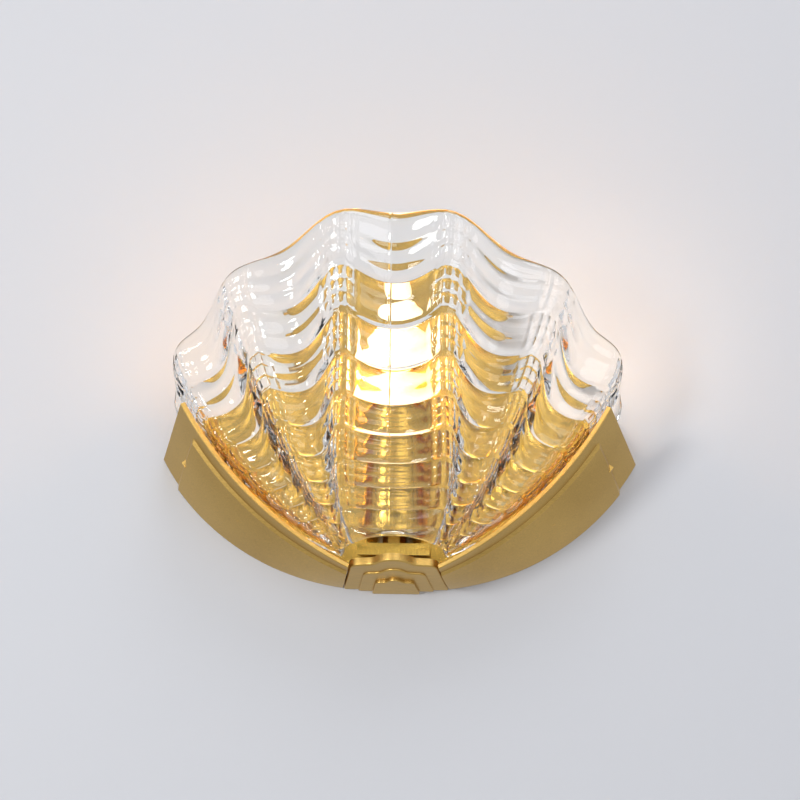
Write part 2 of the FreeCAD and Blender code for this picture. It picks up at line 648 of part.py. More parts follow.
def lamp_base():
    """The threaded nipple with its nuts, and the brass cup round it."""
    foot, outer, bore = size("nipple_foot_z"), size("nipple_radius"), size("nipple_bore")
    head = foot + size("nipple_length")
    on_lamp_axis("lamp_nipple", [(bore, foot), (outer, foot), (outer, head), (bore, head)])
    plate, sheet = size("leg_top_z"), size("leg_sheet")
    floor, height = size("cup_sheet"), size("nut_height")
    levels = [plate - sheet - height, plate, plate + height + floor]
    piece("nipple_nuts", group("Nuts", [nut(f"Nut_{index}", level) for index, level in enumerate(levels)]))
    seat, radius = plate + height, size("cup_radius")
    mouth = seat + size("cup_height")
    corners = [(outer, seat), (radius - 2, seat), (radius, seat + 2), (radius, mouth),
               (radius - floor, mouth), (radius - floor, seat + 2.5), (radius - 2.5, seat + floor),
               (outer, seat + floor)]
    body = place(turned("Cup", corners), 0, -size("lamp_depth"))
    entry = cylinder("Cup_entry", size("bush_radius"), 10, 0, -size("canopy_depth"),
                     size("lead_entry_z"), FORWARD)
    piece("lamp_cup", cut("Cup_drilled", body, [entry]))


def lampholder():
    """The lampholder with its thread and centre contact, and the ring that closes the cup round it."""
    top, outer, bore = size("holder_top_z"), size("holder_radius"), size("holder_bore")
    edge = size("cup_radius") - size("cup_sheet")
    on_lamp_axis("cup_ring", [(outer, top - 2), (edge, top - 2), (edge, top - 2 + size("ring_sheet")),
                              (outer, top - 2 + size("ring_sheet"))])
    foot, floor = top - size("holder_height"), top - size("holder_bore_depth")
    stem, stem_top = size("nipple_radius"), size("nipple_foot_z") + size("nipple_length")
    on_lamp_axis("lampholder", [(stem, foot), (outer, foot), (outer, top - 1), (outer - 1, top),
                                (bore, top), (bore, floor), (0, floor), (0, stem_top), (stem, stem_top)])
    wall = size("cap_radius") + size("thread_gap")
    skin = wall + size("thread_sheet")
    low = floor + 3
    high = low + size("thread_height")
    on_lamp_axis("holder_thread", [(wall, low), (skin, low), (skin, high), (wall, high)])
    touch = size("cap_foot_z") - size("contact_height") - 0.1
    point = size("contact_radius")
    on_lamp_axis("centre_contact", [(0, floor), (point + 2, floor), (point + 2, floor + 1),
                                    (point, floor + 1), (point, touch), (0, touch)])


def bulb():
    """The candle bulb: glass, cap, insulator, tip contact, stem and filaments."""
    foot, outer = size("cap_foot_z"), size("cap_radius")
    inner, lip = outer - size("cap_sheet"), foot + size("cap_height")
    on_lamp_axis("bulb_cap", [(inner, foot), (outer, foot), (outer, lip), (inner, lip)])
    point, drop = size("contact_radius"), size("contact_height")
    on_lamp_axis("bulb_insulator", [(0, foot), (inner, foot), (inner, foot + 1.5), (0, foot + 1.5)])
    on_lamp_axis("bulb_contact", [(0, foot - drop), (point - 0.8, foot - drop), (point, foot - drop + 0.8),
                                  (point, foot), (0, foot)])
    shaped("bulb_glass", bulb_glass())
    base = lip - 4
    on_lamp_axis("bulb_stem", [(0, base), (5.2, base), (5.2, base + 1.5), (2, base + 6),
                               (2, size("filament_foot_z") - 1), (0, size("filament_foot_z"))])
    sticks = []
    for index in range(4):
        angle = math.pi / 4 + math.pi / 2 * index
        circle = size("filament_circle")
        sticks.append(cylinder(f"Filament_{index}", size("filament_radius"), size("filament_height"),
                               circle * math.cos(angle), -size("lamp_depth") + circle * math.sin(angle),
                               size("filament_foot_z")))
    piece("bulb_filaments", group("Filaments", sticks))


def bulb_glass():
    """The bulb's hollow candle-shaped glass."""
    throat, widest = mm("bulb_throat_radius"), mm("bulb_radius")
    foot, middle, top = mm("cap_foot_z") + mm("cap_height") - 3, mm("bulb_widest_z"), mm("bulb_top_z")

    def outline(inset):
        curve = Part.BSplineCurve()
        points = [(throat - inset, foot + 3.4), (widest * 0.72 - inset, (foot + middle) / 2 + 2),
                  (widest - inset, middle), (widest * 0.8 - inset, (middle + top) / 2 - 3),
                  (0, top - inset * 1.6)]
        curve.interpolate([Vector(radius, 0, up) for radius, up in points],
                          InitialTangent=Vector(0.12, 0, 1), FinalTangent=Vector(-1, 0, 0.8))
        return curve.toShape()

    wall = mm("bulb_glass")
    outer, inner = outline(0), outline(wall)
    ends = [Vector(throat, 0, foot + 3.4), Vector(throat, 0, foot), Vector(throat - wall, 0, foot),
            Vector(throat - wall, 0, foot + 3.4)]
    skirt = [Part.LineSegment(a, b).toShape() for a, b in zip(ends, ends[1:])]
    peak = Part.LineSegment(Vector(0, 0, top), Vector(0, 0, top - wall * 1.6)).toShape()
    profile = Part.Wire(Part.__sortEdges__([outer, inner, peak] + skirt))
    solid = Part.Face(profile).revolve(Vector(0, 0, 0), Vector(0, 0, 1), 360)
    solid.translate(Vector(0, -mm("lamp_depth"), 0))
    return solid


def cable_bush():
    """The bush that guards the leads where they come through panel and bracket."""
    bore, outer, flange = size("bush_bore"), size("bush_radius"), size("bush_flange")
    through = size("panel_sheet") + size("leg_sheet")
    bush = turned("Bush", [(bore, -1.5), (flange, -1.5), (flange, 0), (outer, 0), (outer, through),
                           (bore, through)])
    piece("cable_bush", place(bush, 0, -size("canopy_depth"), size("lead_entry_z"), FORWARD))


def lead(name, side):
    """One insulated lead, from the terminal block down behind the panel and up into the lampholder."""
    across, depth, entry = mm("lead_x") * side, mm("lead_depth"), mm("lead_entry_z")
    large, small = mm("lead_bend"), mm("lead_small_bend")
    top = mm("block_z") - mm("block_height") / 2
    end = mm("holder_top_z") - mm("holder_height")
    rise = mm("lamp_depth") - mm("holder_radius") + 2.5
    corner = math.sqrt(0.5)

    def at(out, up):
        return Vector(across, -out, up)

    turn = at(depth + large * (1 - corner), entry + large * (1 - corner))
    lift = at(rise - small * (1 - corner), entry + small * (1 - corner))
    path = Part.Wire([
        Part.LineSegment(at(depth, top), at(depth, entry + large)).toShape(),
        Part.Arc(at(depth, entry + large), turn, at(depth + large, entry)).toShape(),
        Part.LineSegment(at(depth + large, entry), at(rise - small, entry)).toShape(),
        Part.Arc(at(rise - small, entry), lift, at(rise, entry + small)).toShape(),
        Part.LineSegment(at(rise, entry + small), at(rise, end)).toShape()])
    section = Part.Wire(Part.makeCircle(mm("lead_radius"), at(depth, top), Vector(0, 0, 1)))
    shaped(name, path.makePipeShell([section], True, False))


# ---------------------------------------------------------------- the glass

def edge_point(share):
    """The right edge of the glass: inside the arm as far as its tip, then turning up to the rim."""
    bend = mm("tip_share")
    inset = mm("arm_wall") + mm("glass_gap")
    if share <= bend:
        return arm_point(share / bend, mm("edge_depth"), inset)
    tip, before = arm_point(1, mm("edge_depth"), inset), arm_point(0.98, mm("edge_depth"), inset)
    end = Vector(mm("edge_end_x"), -mm("edge_depth"), mm("edge_end_z"))
    run = (share - bend) / (1 - bend)
    heading = tip - before
    heading.normalize()
    control = tip + heading * ((end - tip).Length * 0.45)
    return tip * (1 - run) ** 2 + control * (2 * run * (1 - run)) + end * run ** 2


def crown_point(share):
    """The front line of the glass in the lamp's middle plane: a chord from foot to rim, bulged forward."""
    foot = Vector(0, -mm("crown_foot_depth"), mm("crown_foot_z"))
    rim = Vector(0, -mm("crown_rim_depth"), mm("crown_rim_z"))
    chord = rim - foot
    out = Vector(0, -chord.z, chord.y)
    out.normalize()
    return foot + chord * share + out * (4 * share * (1 - share) * mm("crown_bulge"))


def glass_base(share, angle):
    """The smooth shell under the relief: elliptic across, from one edge by the crown to the other."""
    edge, crown = edge_point(share), crown_point(share)
    across, forward = math.sin(math.radians(angle)), math.cos(math.radians(angle))
    middle = Vector(0, edge.y, edge.z)
    return Vector(edge.x * across, 0, 0) + middle + (crown - middle) * forward


def glass_normal(share, angle):
    """The unit vector out of the smooth shell."""
    step = 0.002
    low, high = max(share - step, 0), min(share + step, 1)
    along = glass_base(high, angle) - glass_base(low, angle)
    across = glass_base(share, angle + 0.2) - glass_base(share, angle - 0.2)
    out = across.cross(along)
    out.normalize()
    return out if out.y < 0 or abs(angle) > 80 and out.x * angle > 0 else -out


def ridge_angles(share):
    """Where the six ridges lie across the shell, in degrees from its crown: they crowd at the foot."""
    fan = (1 - share) ** mm("ridge_fan")
    angles = [mm(name) + (mm(name + "_foot") - mm(name)) * fan
              for name in ("first_ridge", "second_ridge", "third_ridge")]
    return [-angle for angle in reversed(angles)] + angles


def flute_share(share, angle):
    """How far a point lies from the nearest ridge (0) towards the middle of its flute (1)."""
    ridges = ridge_angles(share)
    gaps = [(low, high) for low, high in zip(ridges, ridges[1:]) if low <= angle <= high]
    if not gaps:
        past = abs(angle) - ridges[-1]
        return min(past / (ridges[-1] - ridges[-2]) * 2, 1)
    low, high = gaps[0]
    return 1 - abs(2 * (angle - low) / (high - low) - 1)


def roll_bounds():
    """The shares of the shell's length at which one roll of glass ends and the next begins."""
    count = int(mm("roll_count"))
    ratio = (mm("last_roll") / mm("first_roll")) ** (1 / (count - 1))
    lengths = [ratio ** index for index in range(count)]
    total = sum(lengths)
    return [sum(lengths[:index]) / total for index in range(count + 1)]


def ease(flute):
    """A flute's share rounded off at the ridge, and taken to a quarter wave towards its middle."""
    soft = mm("ridge_width")
    rounded = (math.sqrt(flute * flute + soft * soft) - soft) / (math.sqrt(1 + soft * soft) - soft)
    return math.sin(math.pi / 2 * rounded)


def relief(share, angle, bounds):
    """How far the outer face stands out of the smooth shell: ridges and flutes, and sagging rolls."""
    across = ease(flute_share(share, angle))
    strength = min(1, (90 - abs(angle)) / mm("edge_run"))
    strength *= min(1, mm("foot_relief") + mm("relief_run") * share)
    fluted = mm("ridge_rise") - (mm("ridge_rise") + mm("flute_sink")) * across
    sag = mm("roll_sag") * across ** 2 * (mm("foot_sag") + (1 - mm("foot_sag")) * share)
    along = min(max(share + sag * (1 - share ** mm("rim_run")), 0), 0.99999)
    index = max(number for number, bound in enumerate(bounds[:-1]) if bound <= along)
    run = (along - bounds[index]) / (bounds[index + 1] - bounds[index])
    bulge = math.sin(math.pi * run ** mm("roll_lean")) ** mm("roll_power") - mm("roll_seat")
    return fluted * strength, mm("roll_bulge") * bulge * strength


def rim_fall(share, angle):
    """How far the glass falls towards its rim: in each flute, and half way round to its edges."""
    flute = math.sin(math.pi / 2 * flute_share(share, angle))
    half_way = math.sin(math.radians(2 * angle))
    return (mm("rim_dip") * flute ** 2 + mm("rim_drop") * half_way ** 2) * share ** mm("rim_run")


def glass_shade():
    """The pressed glass: fluted and ridged outside with stacked rolls, smoother inside, in one solid."""
    bounds = roll_bounds()
    parts = int(mm("roll_rows"))
    shares = sorted({round(low + (high - low) * part / parts, 6)
                     for low, high in zip(bounds, bounds[1:]) for part in range(parts + 1)})
    thickness, kept = mm("glass_thickness"), mm("inner_relief")
    outer, inner = [], []
    for share in shares:
        outer_row, inner_row = [], []
        for angle in spaced(-90, 90, int(mm("glass_columns"))):
            fluted, roll = relief(share, angle, bounds)
            point = glass_base(share, angle) - Vector(0, 0, rim_fall(share, angle))
            out = glass_normal(share, angle)
            outer_row.append(point + out * (fluted + roll))
            inner_row.append(point + out * (fluted * kept - thickness))
        outer.append(outer_row)
        inner.append(inner_row)
    faces = []
    rims = []
    for rows in (outer, inner):
        surface = Part.BSplineSurface()
        surface.interpolate(rows)
        faces.append(surface.toShape())
        first_v, last_v = surface.bounds()[2:]
        first_u, last_u = surface.bounds()[:2]
        rims.append([surface.uIso(first_u).toShape(), surface.uIso(last_u).toShape(),
                     surface.vIso(first_v).toShape(), surface.vIso(last_v).toShape()])
    for outside, inside in zip(*rims):
        faces.append(Part.makeRuledSurface(outside, inside))
    shell = Part.makeShell(faces)
    shell.sewShape(0.01)
    solid = Part.makeSolid(shell)
    if solid.Volume < 0:
        solid.reverse()
    shaped("glass_shade", solid)


def build():
    """Every sub-part in turn, from the wall outwards."""
    wall_strap()
    earth_screw()
    canopy()
    side_screws()
    terminal_block()
    back_panel()
    for name, side in SIDES.items():
        arm(name, side)
        clip(name, side)
        pads(name, side)
    arm_screws()
    foot_ornament()
    lamp_bracket()
    small_screws()
    lamp_base()
    lampholder()
    bulb()
    cable_bush()
    lead("live_lead", -1)
    lead("neutral_lead", 1)
    glass_shade()
    DOC.recompute()


def write():
    """Write each sub-part to its own file, once all of them are sound."""
    for item in DOC.Objects:
        if {"Invalid", "Error"} & set(item.State):
            raise ValueError(f"{item.Label} failed: {item.State}")
    for item in PIECES:
        if item.Shape.isNull() or not item.Shape.isValid() or not item.Shape.Solids:
            raise ValueError(f"{item.Label} isn't a valid solid")
    os.makedirs("parts", exist_ok=True)
    for item in PIECES:
        item.Shape.exportStep(f"parts/{item.Label}.step")
        print(f"{item.Label}: {len(item.Shape.Solids)} solids, {item.Shape.Volume / 1000:.2f} cm3")


build()
write()
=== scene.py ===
import math

import bmesh
import bpy
from mathutils import Matrix, Vector


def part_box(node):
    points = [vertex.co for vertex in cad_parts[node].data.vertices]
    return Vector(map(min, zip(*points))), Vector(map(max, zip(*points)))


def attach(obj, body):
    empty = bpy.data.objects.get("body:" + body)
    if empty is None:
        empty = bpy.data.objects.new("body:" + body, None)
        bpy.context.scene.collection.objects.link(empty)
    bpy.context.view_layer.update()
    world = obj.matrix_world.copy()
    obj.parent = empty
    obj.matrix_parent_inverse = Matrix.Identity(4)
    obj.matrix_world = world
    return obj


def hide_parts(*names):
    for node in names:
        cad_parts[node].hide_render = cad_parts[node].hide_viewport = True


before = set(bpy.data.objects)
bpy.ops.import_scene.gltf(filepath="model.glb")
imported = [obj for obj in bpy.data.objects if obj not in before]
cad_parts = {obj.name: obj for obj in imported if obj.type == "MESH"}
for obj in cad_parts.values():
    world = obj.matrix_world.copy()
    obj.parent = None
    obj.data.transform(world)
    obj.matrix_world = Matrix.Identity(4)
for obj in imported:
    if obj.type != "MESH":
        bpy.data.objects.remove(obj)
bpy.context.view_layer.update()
MM = 0.001


# ---------------------------------------------------------------- materials

def linear(hex_colour):
    """An sRGB hex colour as linear red, green, blue and alpha."""
    channels = [int(hex_colour[start:start + 2], 16) / 255 for start in (0, 2, 4)]
    return [c / 12.92 if c <= 0.04045 else ((c + 0.055) / 1.055) ** 2.4 for c in channels] + [1.0]


def add(tree, kind, inputs=None, **settings):
    """Add a node, set its properties and its inputs; an input that is a socket is linked."""
    node = tree.nodes.new(kind)
    for name, value in settings.items():
        setattr(node, name, value)
    for name, value in (inputs or {}).items():
        socket = node.inputs[name]
        if isinstance(value, bpy.types.NodeSocket):
            tree.links.new(value, socket)
        else:
            socket.default_value = value
    return node


def start_material(name):
    """A new node material with nothing in it but its output."""
    material = bpy.data.materials.new(name)
    material.use_nodes = True
    material.node_tree.nodes.clear()
    tree = material.node_tree
    return material, tree, add(tree, "ShaderNodeOutputMaterial")


def finish_material(tree, output, shader):
    """Link a shader to the material's surface."""
    tree.links.new(shader.outputs[0], output.inputs["Surface"])


def object_pattern(tree, kind, scale, stretch=(1, 1, 1), **settings):
    """A texture on the piece's own coordinates, in metres, stretched along its axes."""
    coordinates = add(tree, "ShaderNodeTexCoord")
    mapping = add(tree, "ShaderNodeMapping", {"Vector": coordinates.outputs["Object"], "Scale": stretch})
    return add(tree, kind, {"Vector": mapping.outputs[0], "Scale": scale, **settings})


def ramp(tree, factor, low, high, start=0.35, end=0.65):
    """Two colours blended by a factor."""
    node = add(tree, "ShaderNodeValToRGB", {"Fac": factor})
    node.color_ramp.elements[0].position, node.color_ramp.elements[1].position = start, end
    node.color_ramp.elements[0].color, node.color_ramp.elements[1].color = linear(low), linear(high)
    return node


def spread(tree, factor, low, high):
    """A factor from 0 to 1 taken to another range."""
    return add(tree, "ShaderNodeMapRange", {"Value": factor, "To Min": low, "To Max": high})


def brushed_brass(name, light, dark, roughness, grain=(0.06, 1, 1), cloud=14):
    """Cast or sheet brass, brushed and lacquered: fine scratches one way and slow clouds of tone."""
    material, tree, output = start_material(name)
    # Brush lines 0.5 mm apart, coarser than the real ones so that they show, drawn out along the grain
    lines = object_pattern(tree, "ShaderNodeTexNoise", 2000, grain, Detail=3.0, Roughness=0.6)
    clouds = object_pattern(tree, "ShaderNodeTexNoise", cloud, Detail=3.0)
    colour = ramp(tree, clouds.outputs["Fac"], dark, light)
    scratched = ramp(tree, lines.outputs["Fac"], "e6e6e6", "ffffff")
    tone = add(tree, "ShaderNodeMixRGB", {"Fac": 1.0, "Color1": colour.outputs[0],
                                          "Color2": scratched.outputs[0]}, blend_type="MULTIPLY")
    rough = spread(tree, lines.outputs["Fac"], roughness - 0.05, roughness + 0.07)
    bump = add(tree, "ShaderNodeBump", {"Height": lines.outputs["Fac"], "Strength": 0.05,
                                        "Distance": 0.0002})
    shader = add(tree, "ShaderNodeBsdfPrincipled", {
        "Base Color": tone.outputs[0], "Metallic": 1.0, "Roughness": rough.outputs[0],
        "Normal": bump.outputs[0]})
    finish_material(tree, output, shader)
    return material


def plain_metal(name, colour, worn, roughness, scale=60):
    """Turned or plated metal: a soft tone with faint clouds in its polish."""
    material, tree, output = start_material(name)
    clouds = object_pattern(tree, "ShaderNodeTexNoise", scale, Detail=4.0)
    tone = ramp(tree, clouds.outputs["Fac"], worn, colour)
    rough = spread(tree, clouds.outputs["Fac"], roughness - 0.06, roughness + 0.08)
    shader = add(tree, "ShaderNodeBsdfPrincipled", {
        "Base Color": tone.outputs[0], "Metallic": 1.0, "Roughness": rough.outputs[0]})
    finish_material(tree, output, shader)
    return material


def moulded(name, colour, shade, roughness, scale=120, bumps=0.1, ior=1.5, coat=0.0):
    """Moulded plastic, rubber or porcelain: an even colour with a fine skin."""
    material, tree, output = start_material(name)
    skin = object_pattern(tree, "ShaderNodeTexNoise", scale, Detail=5.0)
    tone = ramp(tree, skin.outputs["Fac"], shade, colour)
    bump = add(tree, "ShaderNodeBump", {"Height": skin.outputs["Fac"], "Strength": bumps,
                                        "Distance": 0.0002})
    shader = add(tree, "ShaderNodeBsdfPrincipled", {
        "Base Color": tone.outputs[0], "Roughness": roughness, "IOR": ior, "Coat Weight": coat,
        "Normal": bump.outputs[0]})
    finish_material(tree, output, shader)
    return material


def let_light_out(tree, output, shader, colour):
    """Link a shader to the surface, and let the light of the lamps pass through it."""
    open_way = add(tree, "ShaderNodeBsdfTransparent", {"Color": colour})
    path = add(tree, "ShaderNodeLightPath")
    mixed = add(tree, "ShaderNodeMixShader", {"Fac": path.outputs["Is Shadow Ray"]})
    tree.links.new(shader.outputs[0], mixed.inputs[1])
    tree.links.new(open_way.outputs[0], mixed.inputs[2])
    finish_material(tree, output, mixed)


def clear_glass(name, tint, passing, glancing, roughness, ior, waves):
    """Glass that bends what is seen through it, and lets the lamps' light through, least at its curves."""
    material, tree, output = start_material(name)
    ripple = object_pattern(tree, "ShaderNodeTexNoise", waves, Detail=2.0)
    bump = add(tree, "ShaderNodeBump", {"Height": ripple.outputs["Fac"], "Strength": 0.2,
                                        "Distance": 0.0006})
    shader = add(tree, "ShaderNodeBsdfPrincipled", {
        "Base Color": linear(tint), "Roughness": roughness, "IOR": ior, "Transmission Weight": 1.0,
        "Normal": bump.outputs[0]})
    turned_away = add(tree, "ShaderNodeLayerWeight", {"Blend": 0.35})
    passed = ramp(tree, turned_away.outputs["Facing"], passing, glancing, 0.1, 0.9)
    let_light_out(tree, output, shader, passed.outputs[0])
    return material


def glowing(name, body, shade, colour, strength, roughness):
    """A lit body: its own warm light over a pale skin, which lets out the light of what is in it."""
    material, tree, output = start_material(name)
    grain = object_pattern(tree, "ShaderNodeTexNoise", 300)
    tone = ramp(tree, grain.outputs["Fac"], shade, body)
    shader = add(tree, "ShaderNodeBsdfPrincipled", {
        "Base Color": tone.outputs[0], "Roughness": roughness, "Emission Color": linear(colour),
        "Emission Strength": strength})
    let_light_out(tree, output, shader, linear(body))
    return material


# Sand-cast brass, brushed and lacquered: a warm matt gold with only blurred reflections
CAST_BRASS = brushed_brass("Satin cast brass", "d9b467", "cca75c", 0.4)
# Rolled brass sheet, brushed up and down: a brighter gold that takes soft reflections
SHEET_BRASS = brushed_brass("Brushed sheet brass", "d8b258", "c8a24a", 0.22, (1, 1, 0.06))
# Brass turned on a lathe: smooth, with small clear highlights
TURNED_BRASS = plain_metal("Turned brass", "d6b260", "c29e4e", 0.26)
# Steel plated with bright zinc: a cool, slightly cloudy grey
ZINC = plain_metal("Bright zinc on steel", "b4b8bc", "9a9ea4", 0.36)
# Brass plated with nickel: a warm silver, polished
NICKEL = plain_metal("Nickel on brass", "c8c2b6", "b2aca0", 0.24)
# Soda glass pressed in a mould: colourless and clear, with a faint wave left by the mould
PRESSED_GLASS = clear_glass("Pressed clear glass", "fdfdfb", "f2f1ee", "a8a6a2", 0.0, 1.5, 45)
# Blown glass tube: thin, clear and smooth
STEM_GLASS = clear_glass("Blown stem glass", "fffdf8", "fffdf8", "e0deda", 0.0, 1.5, 60)
# Blown opal glass, lit from inside: an even cream glow with no sight of what is in it
OPAL_GLASS = glowing("Lit opal glass", "fffaf0", "fdf6e8", "ffd27a", 0.8, 0.25)
# Light-emitting rods under a yellow phosphor coat: matt, and much brighter than the rest
PHOSPHOR = glowing("Lit phosphor", "f4d480", "e8c060", "ffcf8a", 30.0, 0.5)
# Black glass fused into the bulb's cap: dark and glossy
BLACK_GLASS = moulded("Black cap glass", "0c0c0e", "060608", 0.15)
# Fired and glazed porcelain: off-white under a clear gloss
PORCELAIN = moulded("Glazed porcelain", "ece8de", "e2dccf", 0.18, ior=1.52, coat=0.5)
# Injection-moulded polyamide: pale, between matt and gloss, with a fine skin
PA66 = moulded("Moulded polyamide", "e4e2da", "d8d6cc", 0.5)
# Moulded silicone rubber: milky, soft-looking and a little shiny
SILICONE = moulded("Soft clear silicone", "d4d2ca", "c6c4bc", 0.45, ior=1.41)
# Extruded PVC over the leads: smooth and evenly coloured
BROWN_PVC = moulded("Brown lead insulation", "5a3018", "4a2612", 0.4)
BLUE_PVC = moulded("Blue lead insulation", "1c4a9c", "163c84", 0.4)

FINISHES = {
    CAST_BRASS: ["left_arm", "right_arm", "foot_ornament"],
    SHEET_BRASS: ["back_panel", "canopy", "lamp_cup", "cup_ring", "lamp_bracket", "left_clip",
                  "right_clip"],
    TURNED_BRASS: ["left_side_screw", "right_side_screw", "head_screws", "clip_screws", "earth_screw",
                   "earth_washer", "holder_thread", "centre_contact", "nipple_nuts",
                   "bracket_screws"],
    ZINC: ["wall_strap", "lamp_nipple", "left_arm_screws", "right_arm_screws", "foot_screws",
           "terminal_screws", "terminal_block_screw"],
    NICKEL: ["bulb_cap", "bulb_contact"],
    PRESSED_GLASS: ["glass_shade"],
    OPAL_GLASS: ["bulb_glass"],
    STEM_GLASS: ["bulb_stem"],
    PHOSPHOR: ["bulb_filaments"],
    BLACK_GLASS: ["bulb_insulator"],
    PORCELAIN: ["lampholder"],
    PA66: ["terminal_block", "cable_bush"],
    SILICONE: ["left_pads", "right_pads"],
    BROWN_PVC: ["live_lead"],
    BLUE_PVC: ["neutral_lead"],
}


def finish_nodes():
    """Give every carried-over solid its own finish."""
    for material, names in FINISHES.items():
        for name in names:
            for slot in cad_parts[name].material_slots:
                slot.material = material


# ---------------------------------------------------------------- the pressed glass

# Sizes in millimetres and degrees; a share runs from 0 at the foot of the glass to 1 at its rim.
# The brass arm that the glass stands in: each arc is its centre's X and Z, its radius, and where it ends
ARM_FOOT_X, ARM_FOOT_DEPTH, ARM_TIP_DEPTH = 33.4, 50, 72
WALL_ARC, FRONT_ARC = (14, 8, 156.2, 28.7), (-72, 65, 233.5, 29.5)
# The glass's edge inside the arm, and where it leaves the arm and ends at the rim
EDGE_DEPTH, EDGE_INSET, TIP_SHARE, EDGE_BEND = 42, 6.8, 0.86, 0.45
EDGE_END_X, EDGE_END_Z = 140, -34
CROWN_FOOT, CROWN_RIM, CROWN_BULGE = Vector((0, -70, -131)), Vector((0, -125, 62)), 9
# Each pair of ridges stands at one angle from the crown at the rim, and at a wider one at the foot
RIDGES = ((14.7, 50), (45, 64), (76, 77))
THICKNESS, RIDGE_RISE, FLUTE_SINK, RIDGE_SOFTNESS, INNER_RELIEF = 4.5, 3.4, 4.2, 0.28, 1.2
OUTER_FLUTE = 0.9
# The rolls: how far they bulge, less so on the ridges and at the foot, and how far they hang
ROLL_BULGE, ROLL_SEAT, ROLL_POWER, ROLL_LEAN = 3.8, 0.35, 0.8, 0.8
ROLL_ON_RIDGE, ROLL_START, ROLL_SAG, FOOT_SAG, SAG_START = 0.6, 0.62, 0.1, 0.35, 0.12
# All relief fades out towards the edges, and partly towards the foot
EDGE_RUN, FOOT_RELIEF, RELIEF_RUN = 12, 0.3, 2.6
# The rim dips in each flute, drops between crown and sides, and is rounded off
RIM_DIP, RIM_DROP, RIM_RUN, RIM_ROUND, ROUND_START = 5, 9, 8, 1.2, 0.985
# Each roll has two or three rows of prisms, with a bare band at both of its creases
PRISM_ROWS = (2, 2, 2, 2, 3, 3, 3, 3, 3, 3)
BARE_BAND = 0.07
# In the flutes each roll is divided by lower ripples
RIPPLES = (1, 1, 2, 2, 2, 2, 2, 2, 2, 3)
RIPPLE, RIPPLE_POWER = 2.3, 0.7
# Two prisms stand on either side of each ridge, with a groove in the middle and one past each prism
RIDGE_GROOVES, RIDGE_PRISMS = (0, 1, 2), (0.15, 0.85, 1.15, 1.85)
ROW_PRISM = (0.12, 0.37, 0.63, 0.88)
PRISM_WIDTH, OUTER_PRISM_WIDTH, PRISM_DEPTH = 0.073, 0.13, 1.2
# The line left by the two halves of the mould, a little beside the middle of the front flute
SEAM_RISE, SEAM_SIDES, SEAM_LINE = 0.6, (0.445, 0.475), (0.455, 0.465)
# Prisms and seam fade in above the foot, and out over the last part of the rim
FADE_IN, FADE_OUT = 3, 0.03
GAPS, FLUTE_STEPS, OUTER_STEPS = 7, 22, 7
BORDER_TURNS, BORDER_ROUND = (45, 90, 135, 180), 0.5


def unit(vector):
    """The vector at a length of one."""
    return vector / vector.length


def arc_point(arc, share):
    """A point of the right arm's wall or front edge, from its foot (0) to its tip (1)."""
    centre_x, centre_z, radius, tip = arc
    foot = math.degrees(math.acos((ARM_FOOT_X - centre_x) / radius))
    angle = math.radians(foot + (tip - foot) * share)
    return Vector((centre_x + radius * math.cos(angle), 0, centre_z - radius * math.sin(angle)))


def arm_point(share, depth, inset):
    """A point at a depth from the wall and an inset below the right arm's outer face."""
    wall = arc_point(WALL_ARC, share)
    reach = ARM_FOOT_DEPTH + (ARM_TIP_DEPTH - ARM_FOOT_DEPTH) * share
    front = arc_point(FRONT_ARC, share) - Vector((0, reach, 0))
    along = arc_point(WALL_ARC, share + 0.001) - arc_point(WALL_ARC, share - 0.001)
    inward = unit(along.cross(front - wall))
    inward = inward if inward.z > 0 else -inward
    return wall + (front - wall) * (depth / reach) + inward * inset


def edge_point(share):
    """The right edge of the glass: inside the arm as far as its tip, then turning up to the rim."""
    if share <= TIP_SHARE:
        return arm_point(share / TIP_SHARE, EDGE_DEPTH, EDGE_INSET)
    tip = arm_point(1, EDGE_DEPTH, EDGE_INSET)
    before = arm_point(0.98, EDGE_DEPTH, EDGE_INSET)
    end = Vector((EDGE_END_X, -EDGE_DEPTH, EDGE_END_Z))
    run = (share - TIP_SHARE) / (1 - TIP_SHARE)
    control = tip + unit(tip - before) * ((end - tip).length * EDGE_BEND)
    return tip * (1 - run) ** 2 + control * (2 * run * (1 - run)) + end * run ** 2


def crown_point(share):
    """The front line of the glass in the middle plane: a chord from foot to rim, bulged forward."""
    chord = CROWN_RIM - CROWN_FOOT
    out = unit(Vector((0, -chord.z, chord.y)))
    return CROWN_FOOT + chord * share + out * (4 * share * (1 - share) * CROWN_BULGE)


def traced(line, steps=400):
    """A line worked out once at even shares, and read off between them."""
    points = [line(step / steps) for step in range(steps + 1)]

    def read(share):
        place = min(max(share, 0), 1) * steps
        index = min(int(place), steps - 1)
        return points[index].lerp(points[index + 1], place - index)

    return read


EDGE, CROWN = traced(edge_point), traced(crown_point)
# The rolls grow from foot to rim, the last being three times as long as the first
ROLLS = len(PRISM_ROWS)
ROLL_GROWTH = 3 ** (1 / (ROLLS - 1))
ROLL_BOUNDS = [(ROLL_GROWTH ** index - 1) / (ROLL_GROWTH ** ROLLS - 1) for index in range(ROLLS + 1)]


def glass_base(share, angle):
    """The smooth shell under the relief: elliptic across, from one edge by the crown to the other."""
    edge, crown = EDGE(share), CROWN(share)
    across, forward = math.sin(math.radians(angle)), math.cos(math.radians(angle))
    middle = Vector((0, edge.y, edge.z))
    return Vector((edge.x * across, 0, 0)) + middle + (crown - middle) * forward


